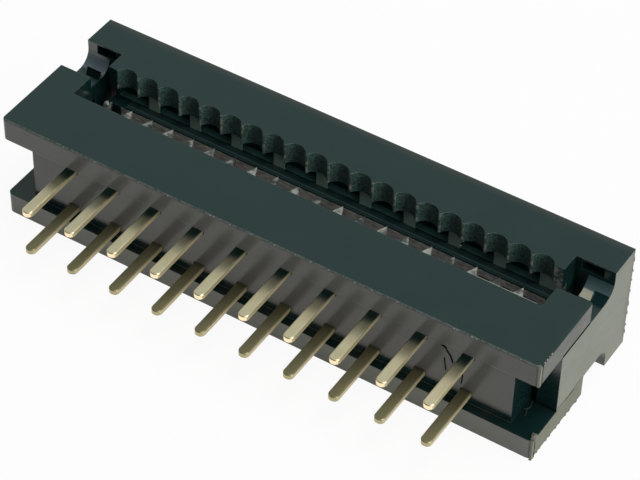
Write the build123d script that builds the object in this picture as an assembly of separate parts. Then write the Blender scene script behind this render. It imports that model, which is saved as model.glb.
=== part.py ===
from build123d import *
import os

os.makedirs("parts", exist_ok=True)

# Ribbon-cable transition connector: a moulded body with two rows of solder pins,
# twenty stamped forks that cut into a flat ribbon cable, and a cover that is
# pressed down on them. It lies on its long side.
# X runs along the connector, Y from the pins to the cover, Z up.
# While it is modelled, y = 0 is the plane that meets the circuit board and
# z = 0 is the middle of the width. place() moves it all to the final frame.

# ---- grid of the contacts (mm)
positions = 10                # pins in each of the two rows
grid = 2.54                   # pin pitch
row_gap = 2.54                # between the two pin rows
wire_pitch = 1.27             # pitch of the ribbon's conductors

# ---- insulator body
end_margin = 3.92             # last pin centre to the end of the body
body_width = 6.35             # across the two rails
rail_thickness = 1.3          # of each rail
standoff = 0.5                # the rails stand this far proud of the pin face
bed_height = 3.5              # board plane to the bed that the cable lies on
land_height = 4.95            # board plane to the top of the end lands
wall_thickness = 0.45         # end wall beside each leg of the cover
leg_bay = 1.45                # length of the open bay for a leg, between the rails
body_corner = 0.3             # radius of the rails' upright corners
edge_round = 0.1              # radius of the moulded long edges

# ---- contacts, stamped from flat strip
strip = 0.32                  # thickness of the strip
pin_width = 0.57
pin_reach = 3.35              # pin tip beyond the board plane
pin_end_radius = 0.27
pin_bevel = 0.04              # rolled edge along the pin and round its tip
fork_width = 1.76             # over the two tines
fork_top = 5.65               # board plane to the points of the tines
shoulder_height = 1.6         # board plane to the shoulder that stops the contact
slot_width = 0.34             # slot that grips the conductor
slot_floor = 2.9              # board plane to the bottom of the slot
mouth_depth = 1.0             # of the V that leads the conductor into the slot
tine_slope = 0.55             # height of the outer slope of a tine's point
contact_fit = 0.03            # clearance of a contact in its cell

# ---- cover, in its pre-latched place
press_travel = 1.65           # closes the slot down to the thickness of the cable
fillet_room = 0.7             # kept over the end lands for the fillets of the legs
head_thickness = 2.03
comb_end_gap = 0.25           # between the comb and the end walls
comb_reach = 1.13             # the comb hangs this far below the head
flute_radius = 0.65           # groove for one conductor
flute_depth = 0.4             # of a groove, into the comb's face
flute_end = 1.95              # the grooves stop this far from the middle
bar_half = 0.98               # half width of the bar between the two fork rows
bar_proud = 0.2               # the bar stands this far proud of the comb
pocket_side_gap = 0.06        # beside each fork
bar_slot_depth = 0.5          # open slot along each side of the bar, into the comb
pocket_roof = 1.0             # wall left over a pocket

# ---- legs and latches of the cover
leg_reach = 2.65              # the leg's foot goes this far below the land tops
leg_fit = 0.08                # clearance of the leg to the end wall
leg_rail_gap = 0.07           # clearance of the leg to the rails
leg_fillet = 0.85             # where the leg grows into the head
foot_chamfer = 0.25
channel_depth = 0.42          # latch channel in the inner side of the leg
channel_half = 0.9
lip_length = 0.65             # closed end of the channel, at the leg's foot
nose_out = 0.34               # latch nose on the end wall
nose_half = 0.75
nose_length = 1.1
nose_crest = 0.28             # flat top of the nose
nose_gap = 0.08               # play between lip and nose
relief_depth = 0.5            # moulding pocket in the front of the head
relief_height = 0.56
relief_roof = 0.08
relief_start = 0.1            # from the comb side of the end wall to the pocket
relief_edge = 0.6             # wall outside the pocket

# ---- worked-out places
half_length = (positions - 1) * grid / 2 + end_margin
half_width = body_width / 2
rail_inside = half_width - rail_thickness
wall_out = half_length - leg_bay
wall_in = wall_out - wall_thickness
head_front = land_height + press_travel + fillet_room
head_back = head_front + head_thickness
comb_face = head_front - comb_reach
bar_face = comb_face - bar_proud
comb_half = wall_in - comb_end_gap
leg_inside = wall_out + leg_fit
leg_half = rail_inside - leg_rail_gap
leg_foot = land_height - leg_reach
channel_front = leg_foot + lip_length
nose_front = channel_front + nose_gap
nose_back = nose_front + nose_length
channel_back = nose_back + press_travel + nose_gap
pocket_back = head_back - pocket_roof
frame_y = (pin_reach - head_back) / 2


def place(shape):
    """Move a shape from the working axes to the connector's own frame."""
    return Pos(0, frame_y, half_width) * shape


def block(x_span, y_span, z_span):
    """A box between three pairs of planes."""
    size = [b - a for a, b in (x_span, y_span, z_span)]
    middle = [(a + b) / 2 for a, b in (x_span, y_span, z_span)]
    return Pos(*middle) * Box(*size)


def mirrored_block(x_span, y_span, z_span):
    """The same box at both ends of the connector."""
    right = block(x_span, y_span, z_span)
    return right + mirror(right, about=Plane.YZ)


def prism(points, z_span):
    """A flat outline in the XY plane, extruded along Z."""
    outline = make_face(Polyline(*points, close=True))
    return Pos(0, 0, z_span[0]) * extrude(outline, z_span[1] - z_span[0])


def pin_x(index):
    """Centre of pin number index (0 to positions - 1) along X."""
    return (index - (positions - 1) / 2) * grid


def contact_layout():
    """Pin centre, fork centre and height of each contact, in ribbon order."""
    layout = []
    for index in range(positions):
        centre = pin_x(index)
        layout.append((centre, centre - wire_pitch / 2, row_gap / 2))
        layout.append((centre, centre + wire_pitch / 2, -row_gap / 2))
    return layout


def fork_outline(fork):
    """Outline of one fork in the XY plane, from its right shoulder round."""
    left, right = fork - fork_width / 2, fork + fork_width / 2
    slope_foot = fork_top - tine_slope
    mouth_foot = fork_top - mouth_depth
    return [
        (right, shoulder_height),
        (right, slope_foot),
        (fork + wire_pitch / 2, fork_top),
        (fork + slot_width / 2, mouth_foot),
        (fork + slot_width / 2, slot_floor),
        (fork - slot_width / 2, slot_floor),
        (fork - slot_width / 2, mouth_foot),
        (fork - wire_pitch / 2, fork_top),
        (left, slope_foot),
        (left, shoulder_height),
    ]


def solder_pin(pin, height):
    """Pin with a rounded end, its rim bevelled on both faces."""
    x_span = (pin - pin_width / 2, pin + pin_width / 2)
    z_span = (height - strip / 2, height + strip / 2)
    tail = block(x_span, (-pin_reach, shoulder_height), z_span)
    tail = fillet(tail.edges().filter_by(Axis.Z).group_by(Axis.Y)[0], pin_end_radius)
    faces = tail.faces().sort_by(Axis.Z)
    rim = [edge for face in (faces[0], faces[-1]) for edge in face.edges()]
    free = shoulder_height - pin_bevel
    return chamfer([edge for edge in rim if edge.center().Y < free], pin_bevel)


def make_contact(pin, fork, height):
    """Solder pin and slotted fork, one piece of strip."""
    z_span = (height - strip / 2, height + strip / 2)
    return prism(fork_outline(fork), z_span) + solder_pin(pin, height)


def contact_cell(pin, fork, height):
    """The hole that one contact fills in the body."""
    fit = contact_fit
    z_span = (height - strip / 2 - fit, height + strip / 2 + fit)
    tail = (pin - pin_width / 2 - fit, pin + pin_width / 2 + fit)
    shank = (fork - fork_width / 2 - fit, fork + fork_width / 2 + fit)
    lower = block(tail, (standoff, shoulder_height), z_span)
    return lower + block(shank, (shoulder_height, bed_height), z_span)


def latch_nose():
    """Wedge on the right end wall that holds the cover before it is pressed."""
    wedge = prism(
        [
            (wall_out, nose_front),
            (wall_out + nose_out, nose_front),
            (wall_out + nose_out, nose_front + nose_crest),
            (wall_out, nose_back),
        ],
        (-nose_half, nose_half),
    )
    return wedge


def make_body():
    """Insulator: two rails, the pin block, the cable bed, lands and latches."""
    body = block((-half_length, half_length), (0, bed_height), (-half_width, half_width))
    body += mirrored_block((wall_in, half_length), (bed_height, land_height), (-half_width, half_width))
    upright = body.edges().filter_by(Axis.Z)
    ends = [edge for edge in upright if abs(edge.center().X) > half_length - edge_round]
    body = fillet([edge for edge in ends if edge.center().Y < edge_round], body_corner)
    long_edges = body.edges().filter_by(Axis.X)
    front = [edge for edge in long_edges if edge.center().Y < edge_round]
    body = fillet(front, edge_round)
    body -= block((-half_length, half_length), (0, standoff), (-rail_inside, rail_inside))
    body -= mirrored_block((wall_out, half_length), (0, land_height), (-rail_inside, rail_inside))
    nose = latch_nose()
    body += nose + mirror(nose, about=Plane.YZ)
    for pin, fork, height in contact_layout():
        body -= contact_cell(pin, fork, height)
    return body


def flute(x):
    """One groove of the comb, above and below its middle part."""
    length = half_width - flute_end
    upper = Cylinder(flute_radius, length, align=(Align.CENTER, Align.CENTER, Align.MIN))
    upper = Pos(x, comb_face + flute_depth - flute_radius, flute_end) * upper
    return upper + mirror(upper, about=Plane.XY)


def bar_slot(side):
    """Slot between the pressing bar and the grooves of one side."""
    slot = block((-comb_half, comb_half), (comb_face, comb_face + bar_slot_depth), (bar_half, flute_end))
    return slot if side > 0 else mirror(slot, about=Plane.XY)


def fork_pocket(fork, row):
    """Blind pocket that a fork's tines enter when the cover goes down."""
    side = fork_width / 2 + pocket_side_gap
    x_span = (fork - side, fork + side)
    pocket = block(x_span, (comb_face, pocket_back), (bar_half, flute_end))
    return pocket if row > 0 else mirror(pocket, about=Plane.XY)


def cover_leg():
    """Right leg, with its fillets into the head, lead-in and latch channel."""
    leg = block((leg_inside, half_length), (leg_foot, head_front), (-leg_half, leg_half))
    foot = [edge for edge in leg.edges().filter_by(Axis.Z) if edge.center().Y < channel_front]
    inner_foot = [edge for edge in foot if edge.center().X < leg_inside + edge_round]
    leg = chamfer(inner_foot, foot_chamfer)
    leg -= block(
        (leg_inside, leg_inside + channel_depth),
        (channel_front, channel_back),
        (-channel_half, channel_half),
    )
    return leg


def root_fillet(side):
    """Concave corner between a leg and the head, above or below the leg."""
    corner = block(
        (leg_inside, half_length),
        (head_front - leg_fillet, head_front),
        (leg_half, leg_half + leg_fillet),
    )
    round_tool = Cylinder(leg_fillet, body_width, rotation=(0, 90, 0))
    middle = (leg_inside + half_length) / 2
    corner -= Pos(middle, head_front - leg_fillet, leg_half + leg_fillet) * round_tool
    return corner if side > 0 else mirror(corner, about=Plane.XY)


def relief_pocket(side):
    """Moulding pocket in the front of the head, beside the leg's root."""
    top = half_width - relief_roof
    pocket = block(
        (wall_in + relief_start, half_length - relief_edge),
        (head_front - leg_fillet, head_front + relief_depth),
        (top - relief_height, top),
    )
    return pocket if side > 0 else mirror(pocket, about=Plane.XY)


def make_cover():
    """Head, fluted comb with its fork pockets, pressing bar and two legs."""
    head = block((-half_length, half_length), (head_front, head_back), (-half_width, half_width))
    back_edges = [e for e in head.edges() if e.center().Y > head_back - edge_round]
    head = fillet(back_edges, edge_round)
    comb = block((-comb_half, comb_half), (comb_face, head_front), (-half_width, half_width))
    cover = head + comb
    for pin, fork, height in contact_layout():
        cover -= flute(fork)
    for pin, fork, height in contact_layout():
        cover -= fork_pocket(fork, height)
    for side in (1, -1):
        cover -= bar_slot(side)
    cover += block((-comb_half, comb_half), (bar_face, comb_face), (-bar_half, bar_half))
    leg = cover_leg() + root_fillet(1) + root_fillet(-1)
    cover += leg + mirror(leg, about=Plane.YZ)
    for side in (1, -1):
        pocket = relief_pocket(side)
        cover -= pocket + mirror(pocket, about=Plane.YZ)
    return cover


export_step(place(make_body()), "parts/insulator_body.step")
export_step(place(make_cover()), "parts/cover.step")
for number, (pin, fork, height) in enumerate(contact_layout(), start=1):
    export_step(place(make_contact(pin, fork, height)), f"parts/contact_{number:02d}.step")
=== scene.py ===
# %% [markdown]
# # A ribbon-cable transition connector, dressed for its portrait
# The real part is about as long as a thumb joint: a black moulded body with two
# rows of flat gold-plated solder pins, and a fluted cover that is pressed down
# over a ribbon cable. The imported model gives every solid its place. This lesson
# adds the finish: soft moulded edges, glossy black polyester, plated metal.

# %% Load the frame
import math
import random

import bmesh
import bpy
from mathutils import Matrix, Vector, noise


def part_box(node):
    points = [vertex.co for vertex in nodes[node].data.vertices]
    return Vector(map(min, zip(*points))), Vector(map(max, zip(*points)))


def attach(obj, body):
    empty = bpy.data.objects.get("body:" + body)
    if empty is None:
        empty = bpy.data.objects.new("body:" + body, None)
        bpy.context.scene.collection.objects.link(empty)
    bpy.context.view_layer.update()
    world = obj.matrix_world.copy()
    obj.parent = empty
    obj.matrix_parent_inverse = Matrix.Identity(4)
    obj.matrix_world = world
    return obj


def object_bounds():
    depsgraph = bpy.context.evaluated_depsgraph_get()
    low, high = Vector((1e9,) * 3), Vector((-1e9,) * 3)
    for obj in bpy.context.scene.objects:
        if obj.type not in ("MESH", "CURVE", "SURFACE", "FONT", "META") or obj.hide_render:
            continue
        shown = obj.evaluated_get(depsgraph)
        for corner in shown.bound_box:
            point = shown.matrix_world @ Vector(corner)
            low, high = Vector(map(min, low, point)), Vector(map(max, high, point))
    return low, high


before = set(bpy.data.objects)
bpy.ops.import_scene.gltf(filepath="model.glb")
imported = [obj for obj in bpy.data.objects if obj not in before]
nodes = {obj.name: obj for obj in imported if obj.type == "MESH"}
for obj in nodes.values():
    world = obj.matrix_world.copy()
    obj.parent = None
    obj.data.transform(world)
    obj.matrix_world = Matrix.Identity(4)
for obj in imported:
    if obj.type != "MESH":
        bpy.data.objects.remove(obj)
cad_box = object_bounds()
mm = 0.001
print("frame nodes:", len(nodes), "box mm:", [[round(v / mm, 2) for v in c] for c in cad_box])

# %% [markdown]
# ## Landmarks
# The ends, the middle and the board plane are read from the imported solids, so the
# camera, the table and the marks near an end follow them. The contacts are
# numbered along the ribbon: odd ones stand in the upper row, even ones in the
# lower row. Typing these numbers in would work too, but only for one size.

# %% Landmarks from the solids
box_low, box_high = (Vector(corner) for corner in cad_box)
body_low, body_high = (Vector(corner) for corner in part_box("insulator_body"))
cover_high = Vector(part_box("cover")[1])
contact_names = sorted(name for name in nodes if name.startswith("contact_"))
middle = (box_low + box_high) / 2
board_plane = body_low.y
print("contacts:", len(contact_names), "board plane mm:", round(board_plane / mm, 2))

# %% [markdown]
# ## Camera
# The part lies on its long side and is seen from in front of the pins, from the
# right and from above, through a long lens. A long lens keeps the two rails
# nearly parallel. The camera could be aimed with a constraint, but a matrix made
# from the view direction is exact and is easy to read back.

# %% View direction
azimuth = math.radians(31.75)
elevation = math.radians(44.28)
roll = math.radians(1.31)
aim = middle + Vector((0.83, 1.27, 0.0)) * mm
distance = 127.3 * mm

back = Vector((
    math.sin(azimuth) * math.cos(elevation),
    -math.cos(azimuth) * math.cos(elevation),
    math.sin(elevation),
))
level_right = Vector((math.cos(azimuth), math.sin(azimuth), 0.0))
level_up = back.cross(level_right)
right = level_right * math.cos(roll) + level_up * math.sin(roll)
up = back.cross(right)
print("view direction:", [round(v, 3) for v in back])

# %% Camera
camera_data = bpy.data.cameras.new("portrait_camera")
camera_data.lens = 145.6
camera_data.sensor_width = 36.0
camera_data.clip_start = 0.01
camera_data.clip_end = 5.0
camera = bpy.data.objects.new("portrait_camera", camera_data)
bpy.context.scene.collection.objects.link(camera)
camera.matrix_world = Matrix((
    (right.x, up.x, back.x, 0.0),
    (right.y, up.y, back.y, 0.0),
    (right.z, up.z, back.z, 0.0),
    (0.0, 0.0, 0.0, 1.0),
))
camera.location = aim + back * distance
bpy.context.scene.camera = camera
print("camera at mm:", [round(v / mm, 1) for v in camera.location])

# %% [markdown]
# ## Floor
# The part lies on a white table. To the camera, and in mirror-like reflections,
# the table is close to pure white. To soft light it is an ordinary pale surface,
# so it still takes the part's shadow. Mixing a plain diffuse shader with a white
# emission through the Light Path node gives both.

# %% Node helpers
def new_material(name):
    """An empty node material and its output node."""
    material = bpy.data.materials.new(name)
    material.use_nodes = True
    material.node_tree.nodes.clear()
    output = material.node_tree.nodes.new("ShaderNodeOutputMaterial")
    return material, output


def add(tree, kind, inputs=None, **properties):
    """A node of one kind, its inputs set by name and its properties by keyword."""
    node = tree.nodes.new(kind)
    for key, value in properties.items():
        setattr(node, key, value)
    for key, value in (inputs or {}).items():
        node.inputs[key].default_value = value
    return node


def blend(tree, factor, first, second):
    """A shader between two others, by a factor socket."""
    node = add(tree, "ShaderNodeMixShader")
    for socket, source in zip(node.inputs, (factor, first, second)):
        tree.links.new(source, socket)
    return node.outputs[0]


print("node helpers:", new_material.__name__, add.__name__, blend.__name__)

# %% Floor material
table_pale = (0.86, 0.86, 0.85, 1)
mirror_white = (1.0, 0.99, 0.95, 1)
mirror_strength = 1.14
seen_white = (1, 1, 1, 1)
seen_share = 0.93


def floor_material():
    """White to the camera and to gloss, pale and shadow-taking to soft light."""
    material, output = new_material("white_table")
    tree = material.node_tree
    pale = add(tree, "ShaderNodeBsdfDiffuse", {"Color": table_pale})
    white = add(tree, "ShaderNodeEmission", {"Color": mirror_white, "Strength": mirror_strength})
    seen = add(tree, "ShaderNodeEmission", {"Color": seen_white, "Strength": 1.0})
    path = add(tree, "ShaderNodeLightPath")
    share = add(tree, "ShaderNodeMath", operation="MULTIPLY")
    share.inputs[1].default_value = seen_share
    tree.links.new(path.outputs["Is Camera Ray"], share.inputs[0])
    gloss = blend(tree, path.outputs["Is Glossy Ray"], pale.outputs[0], white.outputs[0])
    front_side = blend(tree, share.outputs[0], gloss, seen.outputs[0])
    tree.links.new(front_side, output.inputs["Surface"])
    return material


# %% Floor
floor_half = 1.2
floor_mesh = bpy.data.meshes.new("table_top")
floor_edit = bmesh.new()
bmesh.ops.create_grid(floor_edit, x_segments=1, y_segments=1, size=floor_half)
floor_edit.to_mesh(floor_mesh)
floor_edit.free()
floor_mesh.materials.append(floor_material())
floor = bpy.data.objects.new("table_top", floor_mesh)
floor.location.z = box_low.z
bpy.context.scene.collection.objects.link(floor)
print("table under z mm:", round(box_low.z / mm, 3))

# %% [markdown]
# ## Light
# The studio is a soft one. The backdrop behind the part is bright and the room in
# front of it is dim, so faces that look up mirror the bright backdrop, faces that
# look forward mirror the white table, and the reflections of the pins come out
# dark. On black plastic, light is seen mostly as reflection, so what stands where
# matters more than how strong it is. The sky could be a picture; a ramp along one
# direction does the same with two colours.

# %% Lamps
lamp_reach = 0.5
lamp_size = 0.3


def soft_lamp(name, direction, power, color):
    """A square area lamp that looks at the part from one direction."""
    data = bpy.data.lights.new(name, "AREA")
    data.shape = "SQUARE"
    data.size = lamp_size
    data.energy = power
    data.color = color
    lamp = bpy.data.objects.new(name, data)
    lamp.location = middle + direction.normalized() * lamp_reach
    lamp.rotation_euler = direction.to_track_quat("Z", "Y").to_euler()
    bpy.context.scene.collection.objects.link(lamp)
    return lamp


key = soft_lamp("key_lamp", Vector((0.25, 0.15, 1.0)), 1.3, (1.0, 0.99, 0.96))
fill = soft_lamp("fill_lamp", Vector((1.0, -0.15, 0.45)), 1.0, (1.0, 1.0, 0.93))
print("lamps:", key.name, fill.name)

# %% Sky
dim_room = (0.12, 0.13, 0.13, 1)
bright_backdrop = (0.37, 0.45, 0.435, 1)
room_ends = 0.2
backdrop_starts = 0.85
sky_reach = 0.75


def studio_sky():
    """Bright backdrop behind the part, dim room in front, white to the camera."""
    world = bpy.data.worlds.new("studio_sky")
    world.use_nodes = True
    tree = world.node_tree
    tree.nodes.clear()
    place = add(tree, "ShaderNodeTexCoord")
    split = add(tree, "ShaderNodeSeparateXYZ")
    spread = add(tree, "ShaderNodeMapRange", {"From Min": -sky_reach, "From Max": sky_reach})
    ramp = add(tree, "ShaderNodeValToRGB")
    stops = ramp.color_ramp.elements
    stops[0].position, stops[0].color = room_ends, dim_room
    stops[1].position, stops[1].color = backdrop_starts, bright_backdrop
    soft = add(tree, "ShaderNodeBackground", {"Strength": 1.0})
    seen = add(tree, "ShaderNodeBackground", {"Color": seen_white, "Strength": 1.0})
    path = add(tree, "ShaderNodeLightPath")
    output = add(tree, "ShaderNodeOutputWorld")
    tree.links.new(place.outputs["Generated"], split.inputs[0])
    tree.links.new(split.outputs["Y"], spread.inputs["Value"])
    tree.links.new(spread.outputs[0], ramp.inputs[0])
    tree.links.new(ramp.outputs[0], soft.inputs[0])
    sky = blend(tree, path.outputs["Is Camera Ray"], soft.outputs[0], seen.outputs[0])
    tree.links.new(sky, output.inputs[0])
    return world


bpy.context.scene.world = studio_sky()
bpy.context.scene.view_settings.view_transform = "Standard"
print("sky:", bpy.context.scene.world.name)

# %% [markdown]
# ## Black moulded plastic
# The insulator and the cover are moulded from glass-filled polyester. Fresh from
# the mould it is black with a cold tint, half glossy, and never quite even: the
# glass fibre shows as a fine grain, the skin is a little wavy, and loose parts in
# a bag rub the corners and the end faces until they turn pale and matt. Painted
# maps could hold all that; noise in the part's own coordinates needs no picture
# and has no seams.

# %% Noise in the part's own millimetres
def millimetres(tree):
    """The surface point in the part's own coordinates, in millimetres."""
    place = add(tree, "ShaderNodeTexCoord")
    scale = add(tree, "ShaderNodeVectorMath", {"Scale": 1 / mm}, operation="SCALE")
    tree.links.new(place.outputs["Object"], scale.inputs[0])
    return scale.outputs[0]


def stretch(tree, point, factors):
    """Coordinates squeezed or stretched along each axis."""
    node = add(tree, "ShaderNodeVectorMath", operation="MULTIPLY")
    node.inputs[1].default_value = factors
    tree.links.new(point, node.inputs[0])
    return node.outputs[0]


def clouds(tree, point, scale, detail):
    """Smooth noise between 0 and 1, with about `scale` lumps a millimetre."""
    node = add(tree, "ShaderNodeTexNoise", {"Scale": scale, "Detail": detail})
    tree.links.new(point, node.inputs["Vector"])
    return node.outputs[0]


print("noise helpers:", millimetres.__name__, stretch.__name__, clouds.__name__)

# %% Ranges, sums and colours
def remap(tree, value, low, high, out_low=0.0, out_high=1.0):
    """A value moved softly from one range to another and held inside it."""
    limits = {"From Min": low, "From Max": high, "To Min": out_low, "To Max": out_high}
    node = add(tree, "ShaderNodeMapRange", limits, interpolation_type="SMOOTHSTEP")
    tree.links.new(value, node.inputs["Value"])
    return node.outputs[0]


def combine(tree, operation, first, second):
    """Two values put together by one sum; the second may be a plain number."""
    node = add(tree, "ShaderNodeMath", operation=operation)
    tree.links.new(first, node.inputs[0])
    if isinstance(second, (int, float)):
        node.inputs[1].default_value = second
    else:
        tree.links.new(second, node.inputs[1])
    return node.outputs[0]


def all_of(tree, *masks):
    """1 only where every mask is 1."""
    total = masks[0]
    for mask in masks[1:]:
        total = combine(tree, "MULTIPLY", total, mask)
    return total


def changed(tree, value, mask, amount):
    """A value that changes by an amount, up or down, where a mask is 1."""
    return combine(tree, "ADD", value, remap(tree, mask, 0.0, 1.0, 0.0, amount))


def tint(tree, factor, first, second):
    """A colour between two others; each may be a colour or a socket."""
    node = add(tree, "ShaderNodeMix", data_type="RGBA")
    tree.links.new(factor, node.inputs[0])
    for socket, color in ((node.inputs[6], first), (node.inputs[7], second)):
        if isinstance(color, tuple):
            socket.default_value = color
        else:
            tree.links.new(color, socket)
    return node.outputs[2]


def shade(color, factor):
    """A colour made darker or paler by one factor."""
    return tuple(factor * part for part in color[:3]) + (1,)


print("sums of masks:", all_of.__name__, changed.__name__, "colours:", tint.__name__)

# %% Directions, edges and relief
edge_samples = 6


def relief(tree, height, depth_mm, strength, normal=None):
    """Bump of a real depth, on top of another normal."""
    node = add(tree, "ShaderNodeBump", {"Strength": strength, "Distance": depth_mm * mm})
    tree.links.new(height, node.inputs["Height"])
    if normal is not None:
        tree.links.new(normal, node.inputs["Normal"])
    return node.outputs[0]


def along(tree, point, axis):
    """One coordinate of a point."""
    split = add(tree, "ShaderNodeSeparateXYZ")
    tree.links.new(point, split.inputs[0])
    return split.outputs[axis]


def facing(tree, axis):
    """How far the surface looks along one axis, whichever way."""
    normal = add(tree, "ShaderNodeTexCoord").outputs["Normal"]
    return combine(tree, "ABSOLUTE", along(tree, normal, axis), 0.0)


def soft_edges(tree, radius_mm):
    """The normal of a surface with its edges rounded off."""
    bevel = add(tree, "ShaderNodeBevel", {"Radius": radius_mm * mm}, samples=edge_samples)
    return bevel.outputs[0]


def edge_mask(tree, rounded):
    """About 1 on sharp edges and 0 on flats, from the rounded normal."""
    plain = add(tree, "ShaderNodeNewGeometry").outputs["Normal"]
    dot = add(tree, "ShaderNodeVectorMath", operation="DOT_PRODUCT")
    tree.links.new(rounded, dot.inputs[0])
    tree.links.new(plain, dot.inputs[1])
    return remap(tree, dot.outputs["Value"], 0.99, 0.86)


print("edges are rounded with", edge_samples, "samples")

# %% [markdown]
# ## Where things are on the plastic
# A mask is 1 on one feature and 0 on all the rest, so that one material can finish
# the whole solid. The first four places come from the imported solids, the others
# are the part's own sizes, all in millimetres: y runs from the board into the
# cover, x along the ribbon, z up. Vertex colours could carry the same masks, but
# the solids keep their meshes.

# %% Places on the plastic
head_back = cover_high.y / mm
half_length = box_high.x / mm
mid_height = middle.z / mm
front = board_plane / mm
pin_face = front + 0.5
pin_pitch = 2.54
rail_thickness = 1.3

comb_plane = 3.18
comb_half = 13.2
fluted_half = 12.7
flute_depth = 0.4
flute_end = 1.95
bar_plane = comb_plane - 0.2
bar_half = 0.98
pale_bar_half = 12.4
post_plane = comb_plane + 0.5

leg_half = 1.805
leg_inside = 13.9
leg_fillet = 0.85
head_front = comb_plane + 1.13
print("comb plane mm:", comb_plane, "bar plane mm:", round(bar_plane, 2))

# %% Simple masks
def between(tree, value, low, high, soft=0.02):
    """1 where a value lies between two limits."""
    above = remap(tree, value, low - soft, low + soft)
    below = remap(tree, value, high - soft, high + soft, 1.0, 0.0)
    return all_of(tree, above, below)


def under(tree, value, limit, soft=0.02):
    """1 where a value is below a limit."""
    return remap(tree, value, limit - soft, limit + soft, 1.0, 0.0)


def reach_from(tree, point, axis, centre):
    """Distance from a plane across one axis."""
    offset = combine(tree, "SUBTRACT", along(tree, point, axis), centre)
    return combine(tree, "ABSOLUTE", offset, 0.0)


print("simple masks:", between.__name__, under.__name__, reach_from.__name__)

# %% Masks on both mouldings
def outer_ends(tree, point):
    """1 on the two end faces of the part, 0 inside it."""
    reach = reach_from(tree, point, "X", 0.0)
    outside = remap(tree, reach, half_length - 0.12, half_length - 0.04)
    return all_of(tree, outside, remap(tree, facing(tree, "X"), 0.8, 0.95))


def outer_skin(tree, point):
    """1 near the part's ends and its two long sides, where it rubs in a bag."""
    reach = reach_from(tree, point, "X", 0.0)
    rise = reach_from(tree, point, "Z", mid_height)
    near_end = remap(tree, reach, half_length - 0.2, half_length - 0.1)
    near_side = remap(tree, rise, mid_height - 0.2, mid_height - 0.1)
    return combine(tree, "MAXIMUM", near_end, near_side)


print("masks:", outer_ends.__name__, outer_skin.__name__)

# %% Masks on the body
def front_reflection(tree, point):
    """1 on the faces toward the board, painted paler as reflection; 0 at the pin face's foot,
    left dark as painted shade.
    """
    near = under(tree, along(tree, point, "Y"), pin_face + 0.1)
    reflecting_faces = all_of(tree, near, remap(tree, facing(tree, "Y"), 0.75, 0.95))
    height = along(tree, point, "Z")
    # The pin face's foot is left dark: painted shade just above the lower rail.
    above_rail = remap(tree, height, rail_thickness, rail_thickness + 0.05)
    foot = remap(tree, height, rail_thickness + 0.3, rail_thickness + 0.62, 1.0, 0.0)
    shaded_foot = all_of(tree, above_rail, foot)
    return remap(tree, combine(tree, "SUBTRACT", reflecting_faces, shaded_foot), 0.0, 1.0)


def rail_edge(tree, point):
    """1 on the rounded long edge between a rail's front and its outer side."""
    near = under(tree, along(tree, point, "Y"), front + 0.09, 0.04)
    rise = reach_from(tree, point, "Z", mid_height)
    return all_of(tree, near, remap(tree, rise, mid_height - 0.13, mid_height - 0.05))


print("masks:", front_reflection.__name__, rail_edge.__name__)

# %% Masks on the comb's flutes and posts
def comb_faces(tree, point):
    """1 on the comb's faces that look forward, 0 on its top and on the rest."""
    inside = under(tree, reach_from(tree, point, "X", 0.0), comb_half - 0.04)
    return all_of(tree, inside, remap(tree, facing(tree, "Z"), 0.5, 0.7, 1.0, 0.0))


def flute_masks(tree, point, depth, faces):
    """Masks for the flutes, for the cusps between them and for the posts."""
    lit = remap(tree, along(tree, point, "X"), -fluted_half - 0.05, -fluted_half + 0.05)
    flutes = between(tree, depth, comb_plane + 0.03, comb_plane + flute_depth + 0.03)
    cusps = between(tree, depth, comb_plane - 0.03, comb_plane + 0.06)
    posts = between(tree, depth, post_plane - 0.04, post_plane + 0.04)
    return (
        all_of(tree, flutes, faces),
        all_of(tree, cusps, faces, lit),
        all_of(tree, posts, faces, lit),
    )


print("masks:", comb_faces.__name__, flute_masks.__name__)

# %% Masks on the pressing bar, the pockets and the leg roots
def bar_masks(tree, point, depth, faces):
    """Masks: bar face and flank (painted light), step (painted shadow), ridge, lit pocket strip,
    pockets.
    """
    reach = reach_from(tree, point, "X", 0.0)
    rise = reach_from(tree, point, "Z", mid_height)
    lane = under(tree, rise, bar_half + 0.02)
    face = between(tree, depth, bar_plane - 0.03, bar_plane + 0.03)
    face = all_of(tree, face, lane, faces, under(tree, reach, pale_bar_half))

    flank = combine(tree, "SUBTRACT", between(tree, depth, bar_plane, post_plane), face)
    ends = under(tree, reach_from(tree, point, "X", 0.5), fluted_half)
    flank = all_of(tree, flank, lane, ends)
    # The step is a thin line at the bar's edge, painted black as shadow.
    step = between(tree, depth, bar_plane - 0.03, bar_plane + 0.08)
    step = all_of(tree, combine(tree, "SUBTRACT", step, face), flank)
    ridge = all_of(tree, between(tree, depth, bar_plane + 0.27, bar_plane + 0.33), flank)

    pocket = between(tree, depth, post_plane + 0.05, head_back - 1.5)
    mouth = under(tree, rise, flute_end + 0.02)
    pocket = all_of(tree, pocket, mouth, under(tree, reach, comb_half))
    # The strip just behind the posts is painted paler as light on the pocket floor.
    side = between(tree, depth, post_plane, post_plane + 0.45, 0.06)
    side = all_of(tree, side, lane, pocket)
    return face, flank, step, ridge, side, pocket


def leg_roots(tree, point):
    """1 on the hollow fillets between the legs and the head."""
    reach = reach_from(tree, point, "X", 0.0)
    rise = reach_from(tree, point, "Z", mid_height)
    depth = along(tree, point, "Y")
    fillet_start = head_front - leg_fillet
    return all_of(
        tree,
        remap(tree, reach, leg_inside - 0.05, leg_inside),
        remap(tree, rise, leg_half + 0.01, leg_half + 0.05),
        between(tree, depth, fillet_start - 0.05, head_front - 0.05),
        remap(tree, facing(tree, "X"), 0.3, 0.6, 1.0, 0.0),
    )


print("masks:", bar_masks.__name__, leg_roots.__name__)
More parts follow.
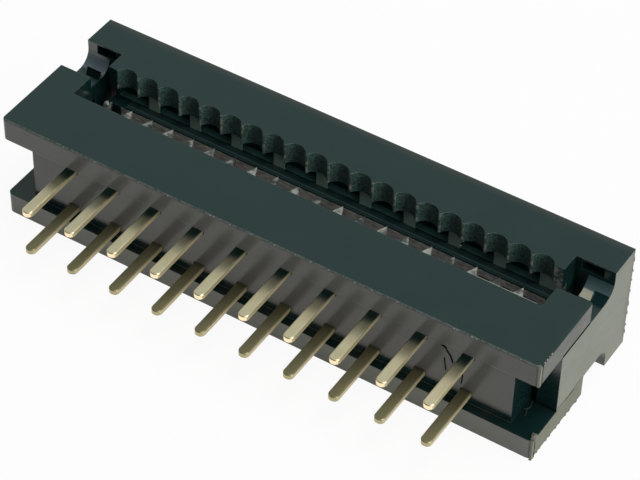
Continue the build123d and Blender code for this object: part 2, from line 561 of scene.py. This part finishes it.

# %% [markdown]
# ## Colours of the plastic
# One colour would make the comb a flat black shape. On the real part each feature
# has its own tone: the flutes are grained, the cusps between them are pale in
# patches, and the pockets are deep and cold. The bar's face and its top, and the
# pocket floor just behind the posts, are painted paler as painted light in the dim
# recess; the line at the bar's step is painted shadow, and the head turns brownish
# towards its back edge as a painted reflection. The faces towards the board are
# painted paler grey as a painted reflection of the white table, with painted shade
# at the pin face's foot. A painted picture could hold all these tones. Here each
# pair is two tones of one feature, and noise or the place chooses between them.

# %% Tones of the comb
flute_tones = ((0.022, 0.052, 0.047, 1), (0.072, 0.142, 0.13, 1))
cusp_tones = ((0.07, 0.12, 0.11, 1), (0.36, 0.35, 0.32, 1))
post_tones = ((0.2, 0.27, 0.235, 1), (0.36, 0.5, 0.44, 1))
# Painted light: the bar's pale face in the dim recess.
pale_bar_tones = ((0.26, 0.24, 0.235, 1), (0.56, 0.53, 0.52, 1))
# Painted light: the paler pocket floor just behind the posts.
pocket_light_tones = ((0.05, 0.13, 0.125, 1), (0.12, 0.28, 0.27, 1))
root_tones = ((0.09, 0.13, 0.155, 1), (0.04, 0.08, 0.09, 1))
pocket_teal = (0.008, 0.07, 0.065, 1)
# Painted light: the bar's lighter top.
lit_flank_teal = (0.02, 0.046, 0.047, 1)
ridge_teal = (0.07, 0.11, 0.105, 1)
# Painted shadow: the black line at the bar's step.
step_shadow_black = (0.001, 0.003, 0.003, 1)
# Painted reflection: brownish grey towards the head's back edge.
reflection_brown = (0.06, 0.052, 0.045, 1)
plain_shine = 0.5
flute_shine = 0.22


def comb_coat(tree, point, skin, matt, grain, noises):
    """The cover's colour, roughness, grain and shine, and where its flutes are."""
    fibre, streaks, chips = noises
    depth = along(tree, point, "Y")
    faces = comb_faces(tree, point)
    flutes, cusps, posts = flute_masks(tree, point, depth, faces)
    bar, flank, step, ridge, side, pocket = bar_masks(tree, point, depth, faces)
    roots = leg_roots(tree, point)
    # Painted reflection, stronger towards the head's back edge.
    back_reflection = remap(tree, depth, head_back - 0.7, head_back)
    right_side = remap(tree, along(tree, point, "X"), -1.0, 1.0)
    coats = (
        (flutes, tint(tree, remap(tree, fibre, 0.35, 0.65), *flute_tones)),
        (cusps, tint(tree, chips, *cusp_tones)),
        (pocket, pocket_teal),
        (posts, tint(tree, fibre, *post_tones)),
        (bar, tint(tree, remap(tree, streaks, 0.35, 0.65), *pale_bar_tones)),
        (flank, lit_flank_teal),
        (side, tint(tree, streaks, *pocket_light_tones)),
        (ridge, ridge_teal),
        (step, step_shadow_black),
        (roots, tint(tree, right_side, *root_tones)),
        (remap(tree, back_reflection, 0.0, 1.0, 0.0, 0.5), reflection_brown),
    )
    for mask, color in coats:
        skin = tint(tree, mask, skin, color)
    for rough_place in (flutes, posts, bar, roots):
        matt = changed(tree, matt, rough_place, 0.3)
    grain = combine(tree, "MAXIMUM", grain, combine(tree, "MAXIMUM", flutes, posts))
    dull = combine(tree, "MAXIMUM", combine(tree, "MAXIMUM", flutes, cusps), step)
    shine = remap(tree, dull, 0.0, 1.0, plain_shine, flute_shine)
    return skin, matt, grain, shine, flutes


print("shine of the comb:", plain_shine, "in general,", flute_shine, "in the flutes")

# %% Tones of the body
# Painted reflection: faces toward the board are painted paler grey, the lower rail most, standing
# in for the white table.
front_reflection_tones = ((0.115, 0.112, 0.112, 1), (0.14, 0.137, 0.134, 1))
low_rail_reflection = (0.187, 0.188, 0.173, 1)
edge_grey = (0.1, 0.11, 0.102, 1)
front_face_shine = 0.15
dry_end_change = -0.28


def body_coat(tree, point, skin, matt, noises, dry_end):
    """The body's colour, roughness and shine: painted reflection in front, a worn rail edge."""
    fibre, patchy = noises
    reflecting_faces = front_reflection(tree, point)
    worn_edge = all_of(tree, rail_edge(tree, point), remap(tree, fibre, 0.35, 0.6, 0.35, 1.0))
    low_rail = under(tree, along(tree, point, "Z"), rail_thickness)
    reflection_colour = tint(tree, low_rail, tint(tree, patchy, *front_reflection_tones), low_rail_reflection)
    skin = tint(tree, reflecting_faces, skin, reflection_colour)
    skin = tint(tree, worn_edge, skin, edge_grey)
    matt = changed(tree, matt, worn_edge, 0.4)
    shine = remap(tree, reflecting_faces, 0.0, 1.0, plain_shine, front_face_shine)
    shine = changed(tree, shine, dry_end, dry_end_change)
    return skin, matt, shine


print("painted reflection on the lower rail:", low_rail_reflection[:3])

# %% Black plastic
deep_teal = (0.005, 0.019, 0.019, 1)
worn_brown = (0.11, 0.1, 0.085, 1)
body_ends = ((0.031, 0.035, 0.029, 1), (0.13, 0.132, 0.084, 1))
cover_ends = ((0.16, 0.168, 0.128, 1), (0.16, 0.168, 0.122, 1))
polyester_ior = 1.62


def black_plastic(name, end_tones, gloss, comb=False):
    """Half-glossy glass-filled polyester, paler and matt where it has rubbed."""
    material, output = new_material(name)
    tree = material.node_tree
    shader = add(tree, "ShaderNodeBsdfPrincipled", {"IOR": polyester_ior})
    point = millimetres(tree)
    patchy = clouds(tree, point, 0.5, 3.0)
    fibre = clouds(tree, point, 9.0, 3.0)
    streaks = clouds(tree, stretch(tree, point, (1.0, 0.5, 3.0)), 2.2, 4.0)
    chips = remap(tree, clouds(tree, point, 3.5, 4.0), 0.45, 0.62)
    rounded = soft_edges(tree, 0.05)

    end_face = outer_ends(tree, point)
    rubbed = all_of(tree, edge_mask(tree, rounded), chips, outer_skin(tree, point))
    end_scuff = all_of(tree, end_face, remap(tree, streaks, 0.25, 0.7, 0.6, 1.0))
    low_end = remap(tree, along(tree, point, "Z"), mid_height - 1.0, mid_height, 1.0, 0.0)
    skin = tint(tree, patchy, deep_teal, shade(deep_teal, 1.5))
    skin = tint(tree, end_scuff, skin, tint(tree, low_end, *end_tones))
    skin = tint(tree, rubbed, skin, worn_brown)
    matt = remap(tree, patchy, 0.3, 0.7, gloss, gloss + 0.05)
    matt = changed(tree, matt, end_scuff, 0.3)
    matt = changed(tree, matt, rubbed, 0.3)
    grain = remap(tree, end_face, 0.0, 1.0)
    if comb:
        coat = comb_coat(tree, point, skin, matt, grain, (fibre, streaks, chips))
        skin, matt, grain, shine, flutes = coat
    else:
        dry_end = all_of(tree, end_face, low_end)
        skin, matt, shine = body_coat(tree, point, skin, matt, (fibre, patchy), dry_end)

    normal = relief(tree, patchy, 0.05, 0.25, rounded)
    normal = relief(tree, fibre, 0.006, 0.35, normal)
    normal = relief(tree, all_of(tree, streaks, grain), 0.03, 0.5, normal)
    if comb:
        normal = relief(tree, all_of(tree, fibre, flutes), 0.05, 1.0, normal)
    tree.links.new(skin, shader.inputs["Base Color"])
    tree.links.new(matt, shader.inputs["Roughness"])
    tree.links.new(shine, shader.inputs["Specular IOR Level"])
    tree.links.new(normal, shader.inputs["Normal"])
    tree.links.new(shader.outputs[0], output.inputs["Surface"])
    return material


body_plastic = black_plastic("body_polyester", body_ends, 0.14)
cover_plastic = black_plastic("cover_polyester", cover_ends, 0.16, comb=True)
print("plastics:", body_plastic.name, cover_plastic.name)

# %% [markdown]
# ## Plated contact strip
# Each contact is stamped from rolled copper-alloy strip. The solder pin carries a
# thin gold flash, and the fork that cuts into the cable is left in bright tin, so
# the colour changes along the piece. Rolling leaves fine lines along the strip.
# Near the root of each upper pin the gold gets a painted reflection of the body
# face, then painted shadow under the rail; the lower row's gold is painted darker
# as shade, and the tines are painted bright and dull in turn, as lit and shaded
# copies of one tin. Three metals on three meshes would also do; one that knows its
# place keeps the solid whole.

# %% Gold on the pins
upper_gold = ((1.0, 0.82, 0.56, 1), (0.93, 0.74, 0.48, 1))
# Painted shade: the lower row's gold is darker than the upper row's.
shaded_lower_gold = ((0.46, 0.41, 0.25, 1), (0.36, 0.32, 0.19, 1))
# Painted reflection: olive near the root, where the pin mirrors the body face.
root_reflection_gold = (0.48, 0.46, 0.31, 1)
root_shadow = (0.19, 0.33, 0.3, 1)


def gold_flash(tree, point, stains, upper):
    """Gold with painted reflection and shadow at the upper pins' root, painted shade on the
    lower.
    """
    depth = along(tree, point, "Y")
    gold = tint(tree, remap(tree, stains, 0.4, 0.75), *upper_gold)
    gold = tint(tree, upper, tint(tree, stains, *shaded_lower_gold), gold)
    near_root = remap(tree, depth, pin_face - 2.3, pin_face - 1.2, 0.0, 0.8)
    gold = tint(tree, all_of(tree, near_root, upper), gold, root_reflection_gold)
    # Painted shadow at the root itself, under the rail.
    root = remap(tree, depth, pin_face - 1.1, pin_face - 0.45)
    return tint(tree, all_of(tree, root, upper), gold, root_shadow)


print("gold tones:", len(upper_gold) + len(shaded_lower_gold))

# %% Tin on the forks
# Painted light and shade: lit and shaded copies of one tin, in turn from tine to tine.
lit_tin = ((0.58, 0.58, 0.545, 1), (0.19, 0.195, 0.18, 1))
shaded_tin = ((0.44, 0.45, 0.43, 1), (0.1, 0.115, 0.108, 1))
tin_starts = front + 2.0
first_tine = -4.5 * pin_pitch


def fork_tin(tree, point):
    """Patchy tin, painted bright and dull in turn from tine to tine, as lit and shaded copies."""
    patches = clouds(tree, point, 2.6, 5.0)
    bright = tint(tree, remap(tree, patches, 0.42, 0.62), *lit_tin)
    dull = tint(tree, remap(tree, patches, 0.36, 0.56), *shaded_tin)
    offset = combine(tree, "SUBTRACT", along(tree, point, "X"), first_tine)
    beat = combine(tree, "PINGPONG", offset, pin_pitch / 2)
    return tint(tree, remap(tree, beat, 0.25 * pin_pitch, 0.3 * pin_pitch), bright, dull)


print("tin starts at mm:", round(tin_starts, 2))

# %% Contact metal
sheared_gold = (0.56, 0.48, 0.29, 1)
sheared_metallic = 0.35


def plated_strip(name):
    """Gold flash on the pin, tin on the fork, rolling lines along both."""
    material, output = new_material(name)
    tree = material.node_tree
    shader = add(tree, "ShaderNodeBsdfPrincipled")
    point = millimetres(tree)
    lines = clouds(tree, stretch(tree, point, (14.0, 0.9, 14.0)), 1.6, 3.0)
    stains = clouds(tree, stretch(tree, point, (1.0, 0.7, 1.0)), 1.3, 4.0)
    tinned = remap(tree, along(tree, point, "Y"), tin_starts, tin_starts + 0.6)
    upper = remap(tree, along(tree, point, "Z"), mid_height, mid_height + 0.5)
    plating = tint(tree, tinned, gold_flash(tree, point, stains, upper), fork_tin(tree, point))
    sheared = combine(tree, "SUBTRACT", remap(tree, facing(tree, "X"), 0.75, 0.9), tinned)
    sheared = remap(tree, sheared, 0.0, 1.0)
    color = tint(tree, sheared, plating, sheared_gold)
    metallic = remap(tree, sheared, 0.0, 1.0, 1.0, sheared_metallic)
    matt = changed(tree, remap(tree, lines, 0.3, 0.7, 0.3, 0.38), tinned, 0.25)
    matt = combine(tree, "ADD", matt, remap(tree, upper, 0.0, 1.0, 0.12, 0.0))
    normal = relief(tree, lines, 0.002, 0.25, soft_edges(tree, 0.03))
    normal = relief(tree, stains, 0.01, 0.3, normal)
    tree.links.new(color, shader.inputs["Base Color"])
    tree.links.new(metallic, shader.inputs["Metallic"])
    tree.links.new(matt, shader.inputs["Roughness"])
    tree.links.new(normal, shader.inputs["Normal"])
    tree.links.new(shader.outputs[0], output.inputs["Surface"])
    return material


contact_metal = plated_strip("plated_contact_strip")
print("metal:", contact_metal.name)

# %% [markdown]
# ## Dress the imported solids
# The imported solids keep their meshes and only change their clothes. They could be
# copied and given real bevels, but then picture and model would no longer agree.
# One material each for the body, the cover and the contacts is enough, because
# the materials know where they are on the part.

# %% Dress the solids
def dress(node, material):
    """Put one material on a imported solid."""
    node.data.materials.clear()
    node.data.materials.append(material)


dress(nodes["insulator_body"], body_plastic)
dress(nodes["cover"], cover_plastic)
for name in contact_names:
    dress(nodes[name], contact_metal)
print("dressed:", 2 + len(contact_names))

# %% [markdown]
# ## Corner flash
# The mould has a loose insert at the right-hand end, and the plastic has crept
# into its joint. It leaves both rails' upright corners sharp there, with a thin
# dark groove beside them. A strip of real geometry over the rounded corner
# gives that hard facet; a line in the material could not change the outline. Noise
# makes the strip ragged, and it gets a fixed seed first: without one, Blender
# takes the seed from the clock, and the strip would differ a little on each run.

# %% Mesh helpers
wear_seed = 20
noise.seed_set(wear_seed)


def finish_mesh(name, edit, material, body, slot):
    """Turn a bmesh into a piece that rides on a body."""
    bmesh.ops.recalc_face_normals(edit, faces=edit.faces)
    mesh = bpy.data.meshes.new(name)
    edit.to_mesh(mesh)
    edit.free()
    mesh.materials.append(material)
    piece = bpy.data.objects.new(name, mesh)
    bpy.context.scene.collection.objects.link(piece)
    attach(piece, body)
    return piece


def ragged(point, amount, seed):
    """A point moved a little by noise, in millimetres."""
    return point + noise.noise_vector(point * 3.7 + Vector((seed, 0, 0))) * amount


def loft(name, rings, material, body, slot):
    """Skin closed rings of points, given in millimetres, and cap both ends."""
    edit = bmesh.new()
    loops = [[edit.verts.new(point * mm) for point in ring] for ring in rings]
    for lower, upper in zip(loops, loops[1:]):
        count = len(lower)
        for i in range(count):
            j = (i + 1) % count
            edit.faces.new((lower[i], lower[j], upper[j], upper[i]))
    edit.faces.new(loops[0])
    edit.faces.new(loops[-1])
    return finish_mesh(name, edit, material, body, slot)


print("mesh helpers:", finish_mesh.__name__, ragged.__name__, loft.__name__)

# %% Dry plastics for flash and grooves
dry_ior = 1.56
shadow_ior = 1.08
shadow_rough = 0.9


def matt_plastic(name, color, rough, ior=dry_ior):
    """A dry, finely grained plastic for flash, stubs and bruises, and for painted light and
    shadow.
    """
    material, output = new_material(name)
    tree = material.node_tree
    shader = add(tree, "ShaderNodeBsdfPrincipled", {"Roughness": rough, "IOR": ior})
    grain = clouds(tree, millimetres(tree), 6.0, 4.0)
    tree.links.new(tint(tree, grain, shade(color, 0.6), color), shader.inputs["Base Color"])
    tree.links.new(relief(tree, grain, 0.02, 0.5), shader.inputs["Normal"])
    tree.links.new(shader.outputs[0], output.inputs["Surface"])
    return material


flash_grey = matt_plastic("flash_grey", (0.165, 0.165, 0.13, 1), 0.5)
# This black serves grooves and hairs, and also the painted shadow and painted shade pieces below.
groove_hair_and_shade_black = matt_plastic("groove_hair_and_shade_black", (0.003, 0.006, 0.006, 1), shadow_rough, shadow_ior)
print("matt plastics:", flash_grey.name, groove_hair_and_shade_black.name)

# %% Corner flash on both rails
flash_back = front + 0.2
groove_back = flash_back + 0.09
facet_profile = [
    (half_length - 0.12, front + 0.05),
    (half_length - 0.1, front - 0.012),
    (half_length + 0.02, front - 0.006),
    (half_length + 0.02, flash_back),
    (half_length - 0.04, flash_back),
]
groove_profile = [
    (half_length - 0.02, flash_back),
    (half_length + 0.014, flash_back),
    (half_length + 0.014, groove_back),
    (half_length - 0.02, groove_back),
]
corner_steps = 12


def corner_strip(name, profile, low, high, material, rough, seed):
    """One upright ragged strip over a rounded rail corner."""
    rings = []
    for step in range(corner_steps + 1):
        height = low + (high - low) * step / corner_steps
        rings.append([ragged(Vector((x, y, height)), rough, seed) for x, y in profile])
    return loft(name, rings, material, "base", "body_plastic")


top = box_high.z / mm
corners = (
    ("upper_corner_flash", top - rail_thickness + 0.02, top - 0.012, 1),
    ("lower_corner_flash", 0.012, rail_thickness - 0.01, 2),
)
for name, low, high, seed in corners:
    corner_strip(f"{name}_facet", facet_profile, low, high, flash_grey, 0.014, seed)
    corner_strip(f"{name}_groove", groove_profile, low, high, groove_hair_and_shade_black, 0.006, seed)
print("corner flash facets:", len(corners))

# %% [markdown]
# ## Lumps, nicks and specks
# Small bright bruises sit along the rail's front edge, one lump of flash stands
# on the lower rail's corner, and a few cusps of the comb are chipped. They could
# be sculpted one by one. Each is a small squashed ball, roughened by noise,
# because no two are alike and all of them are seen as little points of light.

# %% Nicks along the upper rail
def chip(name, centre, size, seed, material, body, slot):
    """A squashed, rough little lump; centre and size in millimetres."""
    edit = bmesh.new()
    bmesh.ops.create_icosphere(edit, subdivisions=2, radius=0.5)
    for vert in edit.verts:
        bump = 1.0 + 0.55 * noise.noise(vert.co * 2.6 + Vector((seed, 0, 0)))
        vert.co = Vector([c + v * s * bump for c, v, s in zip(centre, vert.co, size)]) * mm
    return finish_mesh(name, edit, material, body, slot)


bruise = matt_plastic("bruised_plastic", (0.42, 0.42, 0.38, 1), 0.5)
dice = random.Random(wear_seed)
edge_places = [-2.77, -1.62, -0.41, 0.91, 2.95, 6.35, 10.95, 12.0]
edge_places += [dice.uniform(-14.5, 14.5) for _ in range(14)]
for index, x in enumerate(edge_places):
    place = (x, front + 0.03, top - 0.03)
    size = (dice.uniform(0.05, 0.12), 0.05, 0.05)
    chip(f"rail_nick_{index:02d}", place, size, index, bruise, "base", "body_plastic")
print("rail nicks:", len(edge_places))

# %% Flash lump and comb chips
lump_place = (half_length - 0.1, front + 0.33, rail_thickness + 0.02)
lump_size = (0.3, 0.46, 0.26)
chip("corner_lump", lump_place, lump_size, 3, flash_grey, "base", "body_plastic")

small_chip = (0.07, 0.07, 0.07)
long_chip = (0.07, 0.07, 0.16)
comb_chips = (
    ((2.54, 3.26, 6.3), long_chip),
    ((8.89, 3.24, 6.31), small_chip),
    ((10.16, 3.22, 6.32), small_chip),
    ((7.62, 3.19, 4.9), small_chip),
    ((-6.35, 3.22, 6.32), small_chip),
)
for index, (place, size) in enumerate(comb_chips):
    chip(f"comb_chip_{index}", place, size, index + 40, bruise, "lid", "cover_plastic")
print("comb chips:", len(comb_chips))

# %% [markdown]
# ## Seam smear at the leg
# Where the cover's leg runs down beside the lower rail, only a short piece of
# the gap stays open to the eye; the rest is smeared shut by rubbed plastic. Two
# thin ragged strips on the body cover the ends of the gap and stay clear of the
# leg, so the leg still slides behind them. Closing the gap in the solids would
# weld the two together.

# %% Strips on the end face
def side_strip(name, span, height, half, lifts, steps, rough, seed, material):
    """Thin ragged strip on the right end face, along y from start to end."""
    inner, outer = (half_length + lift_mm for lift_mm in lifts)
    low, high = height - half, height + half
    outline = [(inner, low), (outer, low), (outer, high), (inner, high)]
    rings = []
    for step in range(steps + 1):
        y = span[0] + (span[1] - span[0]) * step / steps
        rings.append([ragged(Vector((x, y, z)), rough, seed) for x, z in outline])
    return loft(name, rings, material, "base", "body_plastic")


def smear(name, start, end, seed):
    """Rubbed plastic over the gap beside the lower rail."""
    seam = rail_thickness + 0.035
    return side_strip(name, (start, end), seam, 0.06, (0.004, 0.014), 14, 0.006, seed, flash_grey)


leg_foot = front + 2.3
rail_back = body_high.y / mm
smear("smear_front", leg_foot, leg_foot + 0.75, 7)
smear("smear_back", leg_foot + 1.7, rail_back - 0.02, 8)
print("smear strips:", 2)

# %% [markdown]
# ## Fibres and a scratch
# Three short hairs from the packing lie on the pin face, and a forked scratch
# marks the floor of the open bay. Meshes could be swept along each line; a curve
# with a thin round section is shorter to write and stays smooth at its bends.

# %% Hair-thin curves
def hair(name, points, thickness, material, body, slot):
    """A thin smooth curve through points in millimetres."""
    data = bpy.data.curves.new(name, "CURVE")
    data.dimensions = "3D"
    data.bevel_depth = thickness / 2 * mm
    data.bevel_resolution = 2
    spline = data.splines.new("NURBS")
    spline.points.add(len(points) - 1)
    for target, point in zip(spline.points, points):
        target.co = (*(Vector(point) * mm), 1.0)
    spline.order_u = 3
    spline.use_endpoint_u = True
    data.materials.append(material)
    piece = bpy.data.objects.new(name, data)
    bpy.context.scene.collection.objects.link(piece)
    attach(piece, body)
    return piece


print("curve helper:", hair.__name__)

# %% Hairs on the pin face
lift = pin_face - 0.015
fibres = (
    ("hair_long", 0.07, ((9.98, 4.33), (10.14, 4.38), (10.32, 4.05), (10.5, 3.9), (10.62, 3.5))),
    ("hair_short", 0.055, ((10.16, 3.62), (10.2, 3.2), (10.29, 2.8))),
    ("hair_low", 0.055, ((11.18, 3.09), (11.18, 2.65), (11.14, 2.39))),
)
for name, thickness, path in fibres:
    points = [(x, lift, z) for x, z in path]
    hair(name, points, thickness, groove_hair_and_shade_black, "base", "body_plastic")
print("hairs:", len(fibres))

# %% Forked scratch in the bay
bay_floor = rail_thickness + 0.004
scratch_grey = matt_plastic("scratch_grey", (0.06, 0.08, 0.08, 1), 0.5)
scratches = (
    ("scratch_arm", 0.035, ((13.96, -1.37), (14.14, -1.35), (14.18, -0.95), (14.05, -0.72))),
    ("scratch_tail", 0.045, ((14.14, -1.36), (14.19, -1.55), (14.25, -1.73))),
)
for name, thickness, path in scratches:
    points = [(x, y, bay_floor) for x, y in path]
    hair(name, points, thickness, scratch_grey, "base", "body_plastic")
print("scratches:", len(scratches))

# %% [markdown]
# ## Marks of use
# The last marks are small, but each is plain to see on the real part. The roots of
# the legs carry a pale patch of painted light on one side and painted shadow on
# the other, a strip of painted shadow darkens the gap beside the upper rail, the
# pressing bar ends in a pale rim, a burr runs along the edge of the cable slot
# with dashes of painted shade above it, and the first tine has a blob of solder.
# The patch, the shadows and the strip are thin ragged plates, lofted along the
# surface that they lie on, so that they follow the hollow fillet instead of
# cutting it. Rims, burrs and dashes are thin curves, and nicks are rough lumps, as
# before.

# %% Plates at the roots of the legs
root_steps = 8
plate_thickness = 0.012


def root_height(y):
    """Height of the leg's top and its hollow fillet at one depth, in millimetres."""
    start = head_front - leg_fillet
    leg_top = mid_height + leg_half
    if y <= start:
        return leg_top
    return leg_top + leg_fillet - math.sqrt(leg_fillet**2 - (y - start) ** 2)


def root_patch(name, y_span, left, right, material, seed):
    """Thin plate on a leg's root; left and right give x at both ends of the span."""
    rings = []
    for step in range(root_steps + 1):
        share = step / root_steps
        y = y_span[0] + (y_span[1] - y_span[0]) * share
        x_low = left[0] + (left[1] - left[0]) * share
        x_high = right[0] + (right[1] - right[0]) * share
        z = root_height(y)
        z_top = z + plate_thickness
        outline = [(x_low, z), (x_high, z), (x_high, z_top), (x_low, z_top)]
        rings.append([ragged(Vector((x, y, height)), 0.004, seed) for x, height in outline])
    return loft(name, rings, material, "lid", "cover_plastic")


print("root plates are mm thick:", plate_thickness)

# %% Painted light and shadows at the roots
# Painted light: a pale patch on the right leg's root; both dark plates are painted shadow.
lit_patch = matt_plastic("lit_patch_plastic", (0.42, 0.41, 0.33, 1), 0.6)
hollow_shade = matt_plastic("hollow_shade", (0.006, 0.023, 0.026, 1), shadow_rough, shadow_ior)
root_marks = (
    ("root_light_patch", (3.27, 3.82), (14.02, 14.0), (14.64, 14.52), lit_patch, 21),
    ("root_shadow_right", (3.2, 3.9), (14.8, 14.54), (15.33, 15.33), hollow_shade, 22),
    ("root_shadow_left", (3.28, 3.8), (-14.8, -15.08), (-14.0, -14.2), groove_hair_and_shade_black, 23),
)
for mark in root_marks:
    root_patch(*mark)
print("root marks:", len(root_marks))

# %% Painted shadow in the gap beside the upper rail
gap_span = (leg_foot + 0.02, rail_back - 0.03)
gap_height = top - rail_thickness - 0.02
gap_lifts = (0.003, 0.01)
side_strip("upper_gap_shadow", gap_span, gap_height, 0.055, gap_lifts, 10, 0.002, 24, groove_hair_and_shade_black)
print("gap line mm:", [round(y, 2) for y in gap_span])

# %% Edge flashes and nicks
low_flashes = 9
head_nicks = 8
end_nicks = 4
for index in range(low_flashes):
    y = front + 0.5 + 0.48 * index + dice.uniform(-0.15, 0.15)
    place = (half_length - 0.01, y, 0.04)
    size = (0.05, dice.uniform(0.08, 0.3), 0.06)
    name = f"low_edge_flash_{index}"
    chip(name, place, size, index + 70, flash_grey, "base", "body_plastic")
for index in range(head_nicks):
    z = 0.5 + 0.72 * index + dice.uniform(-0.2, 0.2)
    place = (half_length - 0.02, head_back - 0.03, z)
    size = (0.07, 0.08, dice.uniform(0.1, 0.4))
    name = f"head_edge_nick_{index}"
    chip(name, place, size, index + 90, flash_grey, "lid", "cover_plastic")
for index in range(end_nicks):
    place = (half_length - 0.02, front + 0.45 + 0.22 * index, top - 0.01)
    size = (0.06, dice.uniform(0.05, 0.15), 0.05)
    name = f"rail_end_nick_{index}"
    chip(name, place, size, index + 110, bruise, "base", "body_plastic")
print("edge flashes and nicks:", low_flashes + head_nicks + end_nicks)

# %% Bar rim and slot burr
pale = matt_plastic("pale_burr", (0.4, 0.4, 0.37, 1), 0.5)
bar_edge = mid_height + bar_half
rim = [
    (pale_bar_half, bar_plane, bar_edge),
    (pale_bar_half + 0.03, bar_plane, bar_edge - 0.5),
    (pale_bar_half, bar_plane, bar_edge - 0.9),
]
hair("bar_rim", rim, 0.1, pale, "lid", "cover_plastic")

slot_edge = front + 3.5
burr = [
    (9.9, slot_edge, top),
    (10.9, slot_edge + 0.01, top),
    (12.0, slot_edge, top),
    (13.2, slot_edge + 0.01, top),
]
hair("slot_burr", burr, 0.045, pale, "base", "body_plastic")
print("slot edge mm:", round(slot_edge, 2))

# %% Dashes of painted shade at the slot, and the blob on the first tine
# Painted shade: black dashes where the slot's cavity shows dark.
dashes = ((10.0, 10.6), (11.3, 11.75), (12.45, 13.15))
for index, (start, end) in enumerate(dashes):
    y = slot_edge + 0.06
    dash = [(start, y, top - 0.01), ((start + end) / 2, y, top), (end, y, top - 0.01)]
    hair(f"slot_shade_dash_{index}", dash, 0.1, groove_hair_and_shade_black, "base", "body_plastic")

blob_place = (-12.79, 2.3, 4.62)
blob_size = (0.36, 0.42, 0.42)
chip("tine_blob", blob_place, blob_size, 81, contact_metal, "base", "contact_metal")
print("slot dashes:", len(dashes), "and one blob")
